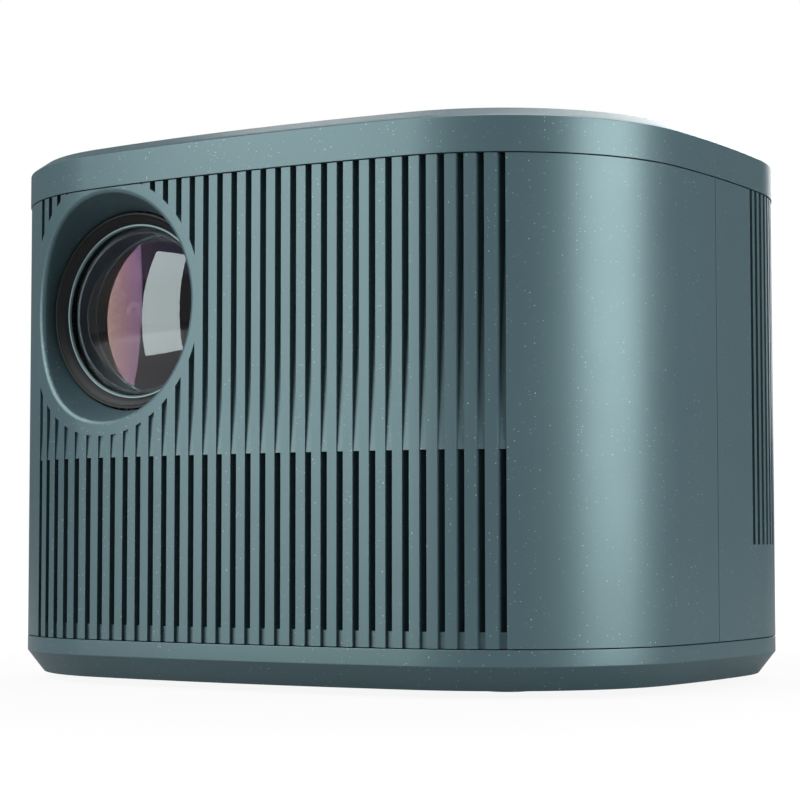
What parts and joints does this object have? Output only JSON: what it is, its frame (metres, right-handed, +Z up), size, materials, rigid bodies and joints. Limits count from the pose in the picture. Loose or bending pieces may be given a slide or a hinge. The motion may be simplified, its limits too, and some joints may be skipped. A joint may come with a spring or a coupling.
{
  "type": "projector with built-in disc player",
  "caption": "Compact video projector with a ribbed front, a recessed lens and a motorised disc drawer at the rear.",
  "frame": {"origin": "on the supporting surface, under the middle of the footprint", "axes": "+Z up, the lens looks along -Y, the disc drawer opens along +Y, +X to the right seen from the lens side"},
  "size_m": [0.2406, 0.1896, 0.1712],
  "materials": {
    "shell": "satin moulded plastic with fine light specks",
    "key": "satin moulded plastic",
    "black_plastic": "fine matt moulding",
    "gear_plastic": "natural acetal",
    "rubber": "soft matt",
    "paper_cone": "pressed cone",
    "glass": "coated",
    "panel_glass": "dark panel",
    "mirror": "front-surface mirror",
    "aluminium": "extruded",
    "steel": "plated steel",
    "brass": "knurled insert",
    "board": "green solder mask"
  },
  "bodies": {
    "housing": {"av_jacks": "black_plastic", "base_screws": "steel", "base_tray": "shell", "clamp_bridge": "steel", "drive_belt": "rubber", "engine_housing": "black_plastic", "engine_lid": "black_plastic", "exhaust_frame": "black_plastic", "feet": "rubber", "focus_motor": "steel", "fold_mirror": "mirror", "front_cover": "shell", "hdmi_ports": "steel", "keypad_board": "board", "lcd_fan_frame": "black_plastic", "lcd_panel": "panel_glass", "led_heatsink": "aluminium", "led_module": "aluminium", "lens_mount": "black_plastic", "light_lenses": "glass", "loader_chassis": "black_plastic", "loading_motor": "steel", "main_board": "board", "mid_frame": "black_plastic", "mount_insert": "brass", "power_inlet": "black_plastic", "psu_board": "board", "rear_cover": "shell", "speaker_cones": "paper_cone", "speaker_frames": "black_plastic", "top_cap": "shell", "usb_ports": "steel"},
    "tray": {"disc_tray": "black_plastic", "tray_bezel": "shell"},
    "drive_gear": {"drive_gear": "gear_plastic"},
    "belt_pulley": {"belt_pulley": "gear_plastic"},
    "motor_pulley": {"motor_pulley": "steel"},
    "cam_slider": {"cam_slider": "gear_plastic"},
    "traverse": {"traverse_frame": "steel", "guide_rods": "steel", "sled_motor": "steel", "spindle_motor": "steel"},
    "turntable": {"turntable": "black_plastic"},
    "lead_screw": {"lead_screw": "steel"},
    "pickup_sled": {"pickup_sled": "black_plastic"},
    "clamp_puck": {"clamp_puck": "black_plastic"},
    "focus_ring": {"focus_ring": "gear_plastic"},
    "focus_pinion": {"focus_pinion": "gear_plastic"},
    "lens_barrel": {"lens_barrel": "black_plastic", "front_lens": "glass", "rear_lens": "glass"},
    "exhaust_impeller": {"exhaust_impeller": "black_plastic"},
    "lcd_fan_impeller": {"lcd_fan_impeller": "black_plastic"},
    "eject_key": {"eject_key": "key"},
    "key_power": {"key_power": "key"},
    "key_ok": {"key_ok": "key"},
    "key_up": {"key_up": "key"},
    "key_left": {"key_left": "key"},
    "key_down": {"key_down": "key"},
    "key_right": {"key_right": "key"}
  },
  "joints": [
    {"name": "tray_slide", "type": "slide", "parent": "housing", "child": "tray", "axis": [0, 1, 0], "range_m": [0, 0.133]},
    {"name": "drive_gear_spin", "type": "hinge", "parent": "housing", "child": "drive_gear", "pos_m": [0.044, 0.062, 0.051], "axis": [0, 0, 1], "range_deg": [0, 1090.8]},
    {"name": "belt_pulley_spin", "type": "hinge", "parent": "housing", "child": "belt_pulley", "pos_m": [0.024, 0.062, 0.047], "axis": [0, 0, 1], "range_deg": [-4363.19, 0]},
    {"name": "motor_pulley_spin", "type": "hinge", "parent": "housing", "child": "motor_pulley", "pos_m": [-0.02, 0.064, 0.047], "axis": [0, 0, 1], "range_deg": [-15998.36, 0]},
    {"name": "cam_slide", "type": "slide", "parent": "housing", "child": "cam_slider", "axis": [-1, 0, 0], "range_m": [0, 0.01202]},
    {"name": "traverse_swing", "type": "hinge", "parent": "housing", "child": "traverse", "pos_m": [0, -0.05, 0.052], "axis": [1, 0, 0], "range_deg": [-4.68, 0]},
    {"name": "turntable_spin", "type": "hinge", "parent": "traverse", "child": "turntable", "pos_m": [0, 0.0235, 0.0629], "axis": [0, 0, 1], "continuous": true},
    {"name": "sled_slide", "type": "slide", "parent": "traverse", "child": "pickup_sled", "axis": [0, -1, 0], "range_m": [0, 0.033]},
    {"name": "lead_screw_spin", "type": "hinge", "parent": "traverse", "child": "lead_screw", "pos_m": [0.032, -0.0007, 0.055], "axis": [0, 1, 0], "range_deg": [0, 3967.92]},
    {"name": "clamp_spin", "type": "hinge", "parent": "housing", "child": "clamp_puck", "pos_m": [0, 0.0235, 0.075], "axis": [0, 0, 1], "continuous": true},
    {"name": "focus_turn", "type": "hinge", "parent": "housing", "child": "focus_ring", "pos_m": [-0.05284, -0.06, 0.11915], "axis": [0, 1, 0], "range_deg": [0, 90.18]},
    {"name": "focus_pinion_spin", "type": "hinge", "parent": "housing", "child": "focus_pinion", "pos_m": [-0.0182, -0.06, 0.09915], "axis": [0, 1, 0], "range_deg": [-631.26, 0]},
    {"name": "focus_slide", "type": "slide", "parent": "housing", "child": "lens_barrel", "axis": [0, -1, 0], "range_m": [0, 0.003]},
    {"name": "exhaust_spin", "type": "hinge", "parent": "housing", "child": "exhaust_impeller", "pos_m": [0.074, 0.038, 0.11915], "axis": [1, 0, 0], "continuous": true},
    {"name": "lcd_fan_spin", "type": "hinge", "parent": "housing", "child": "lcd_fan_impeller", "pos_m": [-0.008, 0.038, 0.081], "axis": [0, 0, 1], "continuous": true},
    {"name": "eject_press", "type": "slide", "parent": "housing", "child": "eject_key", "axis": [-0.3584, -0.9336, 0], "range_m": [0, 0.0005], "stiffness_N_per_m": 300},
    {"name": "key_power_press", "type": "slide", "parent": "housing", "child": "key_power", "axis": [0, 0, -1], "range_m": [0, 0.0005], "stiffness_N_per_m": 400},
    {"name": "key_ok_press", "type": "slide", "parent": "housing", "child": "key_ok", "axis": [0, 0, -1], "range_m": [0, 0.0005], "stiffness_N_per_m": 400},
    {"name": "key_up_press", "type": "slide", "parent": "housing", "child": "key_up", "axis": [0, 0, -1], "range_m": [0, 0.0005], "stiffness_N_per_m": 400},
    {"name": "key_left_press", "type": "slide", "parent": "housing", "child": "key_left", "axis": [0, 0, -1], "range_m": [0, 0.0005], "stiffness_N_per_m": 400},
    {"name": "key_down_press", "type": "slide", "parent": "housing", "child": "key_down", "axis": [0, 0, -1], "range_m": [0, 0.0005], "stiffness_N_per_m": 400},
    {"name": "key_right_press", "type": "slide", "parent": "housing", "child": "key_right", "axis": [0, 0, -1], "range_m": [0, 0.0005], "stiffness_N_per_m": 400}
  ],
  "couplings": [
    {"joint": "drive_gear_spin", "follows": "tray_slide", "rad_per_m": 142.86},
    {"joint": "belt_pulley_spin", "follows": "tray_slide", "rad_per_m": -571.43},
    {"joint": "motor_pulley_spin", "follows": "tray_slide", "rad_per_m": -2095.2},
    {"joint": "cam_slide", "follows": "tray_slide", "ratio": 0.090226},
    {"joint": "traverse_swing", "follows": "tray_slide", "rad_per_m": -0.61242},
    {"joint": "lead_screw_spin", "follows": "sled_slide", "rad_per_m": 2094.4},
    {"joint": "focus_turn", "follows": "focus_slide", "rad_per_m": 523.6},
    {"joint": "focus_pinion_spin", "follows": "focus_slide", "rad_per_m": -3665.2}
  ]
}
